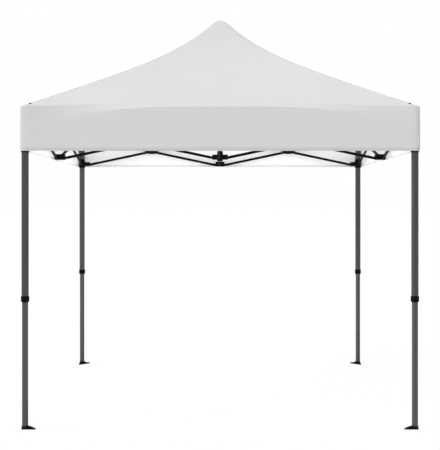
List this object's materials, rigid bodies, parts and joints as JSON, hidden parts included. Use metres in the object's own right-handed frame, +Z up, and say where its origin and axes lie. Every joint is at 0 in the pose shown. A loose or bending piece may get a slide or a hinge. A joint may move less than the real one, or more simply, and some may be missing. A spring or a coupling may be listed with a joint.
{
  "type": "pop up canopy",
  "caption": "Square pop up canopy with a peaked fabric roof and valance on a folding scissor truss frame with telescopic hexagonal legs and flat feet.",
  "frame": {"origin": "on the ground, at the middle of the four feet", "axes": "+Z up; +X to the right along the front side as seen from the front; +Y from the front side to the back side"},
  "size_m": [3, 3, 3.3424],
  "materials": {
    "canopy_fabric": "woven coated polyester, matt",
    "leg_tube": "satin grey powder coat on extruded tube",
    "pole_tube": "satin grey powder coat on round tube",
    "truss_bar": "satin black powder coat on rectangular tube",
    "bracket_plastic": "moulded glass-filled nylon, black",
    "button_plastic": "moulded black plastic knob"
  },
  "bodies": {
    "root": {"upper_hub": "bracket_plastic", "canopy": "canopy_fabric"},
    "centre_falling_bar_front": {"centre_falling_bar_front": "truss_bar"},
    "centre_rising_bar_front": {"centre_rising_bar_front": "truss_bar"},
    "low_connector_front": {"low_connector_front": "bracket_plastic"},
    "top_connector_front": {"top_connector_front": "bracket_plastic"},
    "lower_hub": {"lower_hub": "bracket_plastic"},
    "centre_pole": {"centre_pole": "pole_tube"},
    "front_top_bar_left": {"front_top_bar_left": "truss_bar"},
    "front_slider_bar_left": {"front_slider_bar_left": "truss_bar"},
    "outer_leg_front_left": {"outer_leg_front_left": "leg_tube", "leg_brackets_front_left": "bracket_plastic"},
    "slider_front_left": {"slider_front_left": "bracket_plastic"},
    "front_top_bar_right": {"front_top_bar_right": "truss_bar"},
    "front_slider_bar_right": {"front_slider_bar_right": "truss_bar"},
    "outer_leg_front_right": {"outer_leg_front_right": "leg_tube", "leg_brackets_front_right": "bracket_plastic"},
    "slider_front_right": {"slider_front_right": "bracket_plastic"},
    "centre_falling_bar_right": {"centre_falling_bar_right": "truss_bar"},
    "centre_rising_bar_right": {"centre_rising_bar_right": "truss_bar"},
    "low_connector_right": {"low_connector_right": "bracket_plastic"},
    "top_connector_right": {"top_connector_right": "bracket_plastic"},
    "right_top_bar_front": {"right_top_bar_front": "truss_bar"},
    "right_slider_bar_front": {"right_slider_bar_front": "truss_bar"},
    "right_top_bar_back": {"right_top_bar_back": "truss_bar"},
    "right_slider_bar_back": {"right_slider_bar_back": "truss_bar"},
    "centre_falling_bar_back": {"centre_falling_bar_back": "truss_bar"},
    "centre_rising_bar_back": {"centre_rising_bar_back": "truss_bar"},
    "low_connector_back": {"low_connector_back": "bracket_plastic"},
    "top_connector_back": {"top_connector_back": "bracket_plastic"},
    "back_top_bar_right": {"back_top_bar_right": "truss_bar"},
    "back_slider_bar_right": {"back_slider_bar_right": "truss_bar"},
    "outer_leg_back_right": {"outer_leg_back_right": "leg_tube", "leg_brackets_back_right": "bracket_plastic"},
    "slider_back_right": {"slider_back_right": "bracket_plastic"},
    "back_top_bar_left": {"back_top_bar_left": "truss_bar"},
    "back_slider_bar_left": {"back_slider_bar_left": "truss_bar"},
    "outer_leg_back_left": {"outer_leg_back_left": "leg_tube", "leg_brackets_back_left": "bracket_plastic"},
    "slider_back_left": {"slider_back_left": "bracket_plastic"},
    "centre_falling_bar_left": {"centre_falling_bar_left": "truss_bar"},
    "centre_rising_bar_left": {"centre_rising_bar_left": "truss_bar"},
    "low_connector_left": {"low_connector_left": "bracket_plastic"},
    "top_connector_left": {"top_connector_left": "bracket_plastic"},
    "left_top_bar_front": {"left_top_bar_front": "truss_bar"},
    "left_slider_bar_front": {"left_slider_bar_front": "truss_bar"},
    "left_top_bar_back": {"left_top_bar_back": "truss_bar"},
    "left_slider_bar_back": {"left_slider_bar_back": "truss_bar"},
    "inner_leg_front_left": {"inner_leg_front_left": "leg_tube"},
    "slider_button_front_left": {"slider_button_front_left": "button_plastic"},
    "leg_button_front_left": {"leg_button_front_left": "button_plastic"},
    "inner_leg_front_right": {"inner_leg_front_right": "leg_tube"},
    "slider_button_front_right": {"slider_button_front_right": "button_plastic"},
    "leg_button_front_right": {"leg_button_front_right": "button_plastic"},
    "inner_leg_back_right": {"inner_leg_back_right": "leg_tube"},
    "slider_button_back_right": {"slider_button_back_right": "button_plastic"},
    "leg_button_back_right": {"leg_button_back_right": "button_plastic"},
    "inner_leg_back_left": {"inner_leg_back_left": "leg_tube"},
    "slider_button_back_left": {"slider_button_back_left": "button_plastic"},
    "leg_button_back_left": {"leg_button_back_left": "button_plastic"}
  },
  "joints": [
    {"name": "frame_fold", "type": "hinge", "parent": "root", "child": "centre_falling_bar_front", "pos_m": [0.0075, -0.062, 2.384], "axis": [1, 0, 0], "range_deg": [0, 76.6], "deforming": ["canopy"]},
    {"name": "centre_scissor_pivot_front", "type": "hinge", "parent": "centre_falling_bar_front", "child": "centre_rising_bar_front", "pos_m": [0, -0.725, 2.244], "axis": [1, 0, 0], "range_deg": [-153.2, 0]},
    {"name": "low_connector_pivot_front", "type": "hinge", "parent": "centre_falling_bar_front", "child": "low_connector_front", "pos_m": [0.0075, -1.388, 2.104], "axis": [1, 0, 0], "range_deg": [-76.6, 0]},
    {"name": "top_connector_pivot_front", "type": "hinge", "parent": "centre_rising_bar_front", "child": "top_connector_front", "pos_m": [-0.0075, -1.388, 2.384], "axis": [1, 0, 0], "range_deg": [0, 76.6]},
    {"name": "lower_hub_pivot", "type": "hinge", "parent": "centre_rising_bar_front", "child": "lower_hub", "pos_m": [-0.0075, -0.062, 2.104], "axis": [1, 0, 0], "range_deg": [0, 76.6]},
    {"name": "centre_pole_slide", "type": "slide", "parent": "lower_hub", "child": "centre_pole", "axis": [0, 0, 1], "range_m": [0, 0.1905]},
    {"name": "front_top_bar_pivot_left", "type": "hinge", "parent": "low_connector_front", "child": "front_top_bar_left", "pos_m": [-0.06, -1.4675, 2.104], "axis": [0, -1, 0], "range_deg": [-76.6, 0]},
    {"name": "front_slider_bar_pivot_left", "type": "hinge", "parent": "top_connector_front", "child": "front_slider_bar_left", "pos_m": [-0.06, -1.4525, 2.384], "axis": [0, -1, 0], "range_deg": [0, 76.6]},
    {"name": "leg_top_pivot_front_left", "type": "hinge", "parent": "front_top_bar_left", "child": "outer_leg_front_left", "pos_m": [-1.386, -1.4675, 2.384], "axis": [0, -1, 0], "range_deg": [0, 76.6]},
    {"name": "slider_pivot_front_left", "type": "hinge", "parent": "front_slider_bar_left", "child": "slider_front_left", "pos_m": [-1.386, -1.4525, 2.104], "axis": [0, -1, 0], "range_deg": [-76.6, 0]},
    {"name": "front_top_bar_pivot_right", "type": "hinge", "parent": "low_connector_front", "child": "front_top_bar_right", "pos_m": [0.06, -1.4675, 2.104], "axis": [0, 1, 0], "range_deg": [-76.6, 0]},
    {"name": "front_slider_bar_pivot_right", "type": "hinge", "parent": "top_connector_front", "child": "front_slider_bar_right", "pos_m": [0.06, -1.4525, 2.384], "axis": [0, 1, 0], "range_deg": [0, 76.6]},
    {"name": "leg_top_pivot_front_right", "type": "hinge", "parent": "front_top_bar_right", "child": "outer_leg_front_right", "pos_m": [1.386, -1.4675, 2.384], "axis": [0, 1, 0], "range_deg": [0, 76.6]},
    {"name": "slider_pivot_front_right", "type": "hinge", "parent": "front_slider_bar_right", "child": "slider_front_right", "pos_m": [1.386, -1.4525, 2.104], "axis": [0, 1, 0], "range_deg": [-76.6, 0]},
    {"name": "hub_pivot_right", "type": "hinge", "parent": "root", "child": "centre_falling_bar_right", "pos_m": [0.062, 0.0075, 2.384], "axis": [0, 1, 0], "range_deg": [0, 76.6]},
    {"name": "centre_scissor_pivot_right", "type": "hinge", "parent": "centre_falling_bar_right", "child": "centre_rising_bar_right", "pos_m": [0.725, 0, 2.244], "axis": [0, 1, 0], "range_deg": [-153.2, 0]},
    {"name": "low_connector_pivot_right", "type": "hinge", "parent": "centre_falling_bar_right", "child": "low_connector_right", "pos_m": [1.388, 0.0075, 2.104], "axis": [0, 1, 0], "range_deg": [-76.6, 0]},
    {"name": "top_connector_pivot_right", "type": "hinge", "parent": "centre_rising_bar_right", "child": "top_connector_right", "pos_m": [1.388, -0.0075, 2.384], "axis": [0, 1, 0], "range_deg": [0, 76.6]},
    {"name": "right_top_bar_pivot_front", "type": "hinge", "parent": "low_connector_right", "child": "right_top_bar_front", "pos_m": [1.4675, -0.06, 2.104], "axis": [1, 0, 0], "range_deg": [-76.6, 0]},
    {"name": "right_slider_bar_pivot_front", "type": "hinge", "parent": "top_connector_right", "child": "right_slider_bar_front", "pos_m": [1.4525, -0.06, 2.384], "axis": [1, 0, 0], "range_deg": [0, 76.6]},
    {"name": "right_top_bar_pivot_back", "type": "hinge", "parent": "low_connector_right", "child": "right_top_bar_back", "pos_m": [1.4675, 0.06, 2.104], "axis": [-1, 0, 0], "range_deg": [-76.6, 0]},
    {"name": "right_slider_bar_pivot_back", "type": "hinge", "parent": "top_connector_right", "child": "right_slider_bar_back", "pos_m": [1.4525, 0.06, 2.384], "axis": [-1, 0, 0], "range_deg": [0, 76.6]},
    {"name": "hub_pivot_back", "type": "hinge", "parent": "root", "child": "centre_falling_bar_back", "pos_m": [-0.0075, 0.062, 2.384], "axis": [-1, 0, 0], "range_deg": [0, 76.6]},
    {"name": "centre_scissor_pivot_back", "type": "hinge", "parent": "centre_falling_bar_back", "child": "centre_rising_bar_back", "pos_m": [0, 0.725, 2.244], "axis": [-1, 0, 0], "range_deg": [-153.2, 0]},
    {"name": "low_connector_pivot_back", "type": "hinge", "parent": "centre_falling_bar_back", "child": "low_connector_back", "pos_m": [-0.0075, 1.388, 2.104], "axis": [-1, 0, 0], "range_deg": [-76.6, 0]},
    {"name": "top_connector_pivot_back", "type": "hinge", "parent": "centre_rising_bar_back", "child": "top_connector_back", "pos_m": [0.0075, 1.388, 2.384], "axis": [-1, 0, 0], "range_deg": [0, 76.6]},
    {"name": "back_top_bar_pivot_right", "type": "hinge", "parent": "low_connector_back", "child": "back_top_bar_right", "pos_m": [0.06, 1.4675, 2.104], "axis": [0, 1, 0], "range_deg": [-76.6, 0]},
    {"name": "back_slider_bar_pivot_right", "type": "hinge", "parent": "top_connector_back", "child": "back_slider_bar_right", "pos_m": [0.06, 1.4525, 2.384], "axis": [0, 1, 0], "range_deg": [0, 76.6]},
    {"name": "leg_top_pivot_back_right", "type": "hinge", "parent": "back_top_bar_right", "child": "outer_leg_back_right", "pos_m": [1.386, 1.4675, 2.384], "axis": [0, 1, 0], "range_deg": [0, 76.6]},
    {"name": "slider_pivot_back_right", "type": "hinge", "parent": "back_slider_bar_right", "child": "slider_back_right", "pos_m": [1.386, 1.4525, 2.104], "axis": [0, 1, 0], "range_deg": [-76.6, 0]},
    {"name": "back_top_bar_pivot_left", "type": "hinge", "parent": "low_connector_back", "child": "back_top_bar_left", "pos_m": [-0.06, 1.4675, 2.104], "axis": [0, -1, 0], "range_deg": [-76.6, 0]},
    {"name": "back_slider_bar_pivot_left", "type": "hinge", "parent": "top_connector_back", "child": "back_slider_bar_left", "pos_m": [-0.06, 1.4525, 2.384], "axis": [0, -1, 0], "range_deg": [0, 76.6]},
    {"name": "leg_top_pivot_back_left", "type": "hinge", "parent": "back_top_bar_left", "child": "outer_leg_back_left", "pos_m": [-1.386, 1.4675, 2.384], "axis": [0, -1, 0], "range_deg": [0, 76.6]},
    {"name": "slider_pivot_back_left", "type": "hinge", "parent": "back_slider_bar_left", "child": "slider_back_left", "pos_m": [-1.386, 1.4525, 2.104], "axis": [0, -1, 0], "range_deg": [-76.6, 0]},
    {"name": "hub_pivot_left", "type": "hinge", "parent": "root", "child": "centre_falling_bar_left", "pos_m": [-0.062, -0.0075, 2.384], "axis": [0, -1, 0], "range_deg": [0, 76.6]},
    {"name": "centre_scissor_pivot_left", "type": "hinge", "parent": "centre_falling_bar_left", "child": "centre_rising_bar_left", "pos_m": [-0.725, 0, 2.244], "axis": [0, -1, 0], "range_deg": [-153.2, 0]},
    {"name": "low_connector_pivot_left", "type": "hinge", "parent": "centre_falling_bar_left", "child": "low_connector_left", "pos_m": [-1.388, -0.0075, 2.104], "axis": [0, -1, 0], "range_deg": [-76.6, 0]},
    {"name": "top_connector_pivot_left", "type": "hinge", "parent": "centre_rising_bar_left", "child": "top_connector_left", "pos_m": [-1.388, 0.0075, 2.384], "axis": [0, -1, 0], "range_deg": [0, 76.6]},
    {"name": "left_top_bar_pivot_front", "type": "hinge", "parent": "low_connector_left", "child": "left_top_bar_front", "pos_m": [-1.4675, -0.06, 2.104], "axis": [1, 0, 0], "range_deg": [-76.6, 0]},
    {"name": "left_slider_bar_pivot_front", "type": "hinge", "parent": "top_connector_left", "child": "left_slider_bar_front", "pos_m": [-1.4525, -0.06, 2.384], "axis": [1, 0, 0], "range_deg": [0, 76.6]},
    {"name": "left_top_bar_pivot_back", "type": "hinge", "parent": "low_connector_left", "child": "left_top_bar_back", "pos_m": [-1.4675, 0.06, 2.104], "axis": [-1, 0, 0], "range_deg": [-76.6, 0]},
    {"name": "left_slider_bar_pivot_back", "type": "hinge", "parent": "top_connector_left", "child": "left_slider_bar_back", "pos_m": [-1.4525, 0.06, 2.384], "axis": [-1, 0, 0], "range_deg": [0, 76.6]},
    {"name": "leg_height_front_left", "type": "slide", "parent": "outer_leg_front_left", "child": "inner_leg_front_left", "axis": [0, 0, 1], "range_m": [0, 0.88]},
    {"name": "slider_button_pull_front_left", "type": "slide", "parent": "slider_front_left", "child": "slider_button_front_left", "axis": [0, 1, 0], "range_m": [0, 0.006], "stiffness_N_per_m": 900, "springref_m": -0.002},
    {"name": "leg_button_pull_front_left", "type": "slide", "parent": "outer_leg_front_left", "child": "leg_button_front_left", "axis": [0, 1, 0], "range_m": [0, 0.006], "stiffness_N_per_m": 900, "springref_m": -0.002},
    {"name": "leg_height_front_right", "type": "slide", "parent": "outer_leg_front_right", "child": "inner_leg_front_right", "axis": [0, 0, 1], "range_m": [0, 0.88]},
    {"name": "slider_button_pull_front_right", "type": "slide", "parent": "slider_front_right", "child": "slider_button_front_right", "axis": [0, 1, 0], "range_m": [0, 0.006], "stiffness_N_per_m": 900, "springref_m": -0.002},
    {"name": "leg_button_pull_front_right", "type": "slide", "parent": "outer_leg_front_right", "child": "leg_button_front_right", "axis": [0, 1, 0], "range_m": [0, 0.006], "stiffness_N_per_m": 900, "springref_m": -0.002},
    {"name": "leg_height_back_right", "type": "slide", "parent": "outer_leg_back_right", "child": "inner_leg_back_right", "axis": [0, 0, 1], "range_m": [0, 0.88]},
    {"name": "slider_button_pull_back_right", "type": "slide", "parent": "slider_back_right", "child": "slider_button_back_right", "axis": [0, -1, 0], "range_m": [0, 0.006], "stiffness_N_per_m": 900, "springref_m": -0.002},
    {"name": "leg_button_pull_back_right", "type": "slide", "parent": "outer_leg_back_right", "child": "leg_button_back_right", "axis": [0, -1, 0], "range_m": [0, 0.006], "stiffness_N_per_m": 900, "springref_m": -0.002},
    {"name": "leg_height_back_left", "type": "slide", "parent": "outer_leg_back_left", "child": "inner_leg_back_left", "axis": [0, 0, 1], "range_m": [0, 0.88]},
    {"name": "slider_button_pull_back_left", "type": "slide", "parent": "slider_back_left", "child": "slider_button_back_left", "axis": [0, -1, 0], "range_m": [0, 0.006], "stiffness_N_per_m": 900, "springref_m": -0.002},
    {"name": "leg_button_pull_back_left", "type": "slide", "parent": "outer_leg_back_left", "child": "leg_button_back_left", "axis": [0, -1, 0], "range_m": [0, 0.006], "stiffness_N_per_m": 900, "springref_m": -0.002}
  ],
  "couplings": [
    {"joint": "centre_scissor_pivot_front", "follows": "frame_fold", "ratio": -2},
    {"joint": "low_connector_pivot_front", "follows": "frame_fold", "ratio": -1},
    {"joint": "top_connector_pivot_front", "follows": "frame_fold", "ratio": 1},
    {"joint": "lower_hub_pivot", "follows": "frame_fold", "ratio": 1},
    {"joint": "centre_pole_slide", "follows": "frame_fold", "m_per_rad": 0.14212},
    {"joint": "front_top_bar_pivot_left", "follows": "frame_fold", "ratio": -1},
    {"joint": "front_slider_bar_pivot_left", "follows": "frame_fold", "ratio": 1},
    {"joint": "leg_top_pivot_front_left", "follows": "frame_fold", "ratio": 1},
    {"joint": "slider_pivot_front_left", "follows": "frame_fold", "ratio": -1},
    {"joint": "front_top_bar_pivot_right", "follows": "frame_fold", "ratio": -1},
    {"joint": "front_slider_bar_pivot_right", "follows": "frame_fold", "ratio": 1},
    {"joint": "leg_top_pivot_front_right", "follows": "frame_fold", "ratio": 1},
    {"joint": "slider_pivot_front_right", "follows": "frame_fold", "ratio": -1},
    {"joint": "hub_pivot_right", "follows": "frame_fold", "ratio": 1},
    {"joint": "centre_scissor_pivot_right", "follows": "frame_fold", "ratio": -2},
    {"joint": "low_connector_pivot_right", "follows": "frame_fold", "ratio": -1},
    {"joint": "top_connector_pivot_right", "follows": "frame_fold", "ratio": 1},
    {"joint": "right_top_bar_pivot_front", "follows": "frame_fold", "ratio": -1},
    {"joint": "right_slider_bar_pivot_front", "follows": "frame_fold", "ratio": 1},
    {"joint": "right_top_bar_pivot_back", "follows": "frame_fold", "ratio": -1},
    {"joint": "right_slider_bar_pivot_back", "follows": "frame_fold", "ratio": 1},
    {"joint": "hub_pivot_back", "follows": "frame_fold", "ratio": 1},
    {"joint": "centre_scissor_pivot_back", "follows": "frame_fold", "ratio": -2},
    {"joint": "low_connector_pivot_back", "follows": "frame_fold", "ratio": -1},
    {"joint": "top_connector_pivot_back", "follows": "frame_fold", "ratio": 1},
    {"joint": "back_top_bar_pivot_right", "follows": "frame_fold", "ratio": -1},
    {"joint": "back_slider_bar_pivot_right", "follows": "frame_fold", "ratio": 1},
    {"joint": "leg_top_pivot_back_right", "follows": "frame_fold", "ratio": 1},
    {"joint": "slider_pivot_back_right", "follows": "frame_fold", "ratio": -1},
    {"joint": "back_top_bar_pivot_left", "follows": "frame_fold", "ratio": -1},
    {"joint": "back_slider_bar_pivot_left", "follows": "frame_fold", "ratio": 1},
    {"joint": "leg_top_pivot_back_left", "follows": "frame_fold", "ratio": 1},
    {"joint": "slider_pivot_back_left", "follows": "frame_fold", "ratio": -1},
    {"joint": "hub_pivot_left", "follows": "frame_fold", "ratio": 1},
    {"joint": "centre_scissor_pivot_left", "follows": "frame_fold", "ratio": -2},
    {"joint": "low_connector_pivot_left", "follows": "frame_fold", "ratio": -1},
    {"joint": "top_connector_pivot_left", "follows": "frame_fold", "ratio": 1},
    {"joint": "left_top_bar_pivot_front", "follows": "frame_fold", "ratio": -1},
    {"joint": "left_slider_bar_pivot_front", "follows": "frame_fold", "ratio": 1},
    {"joint": "left_top_bar_pivot_back", "follows": "frame_fold", "ratio": -1},
    {"joint": "left_slider_bar_pivot_back", "follows": "frame_fold", "ratio": 1}
  ]
}
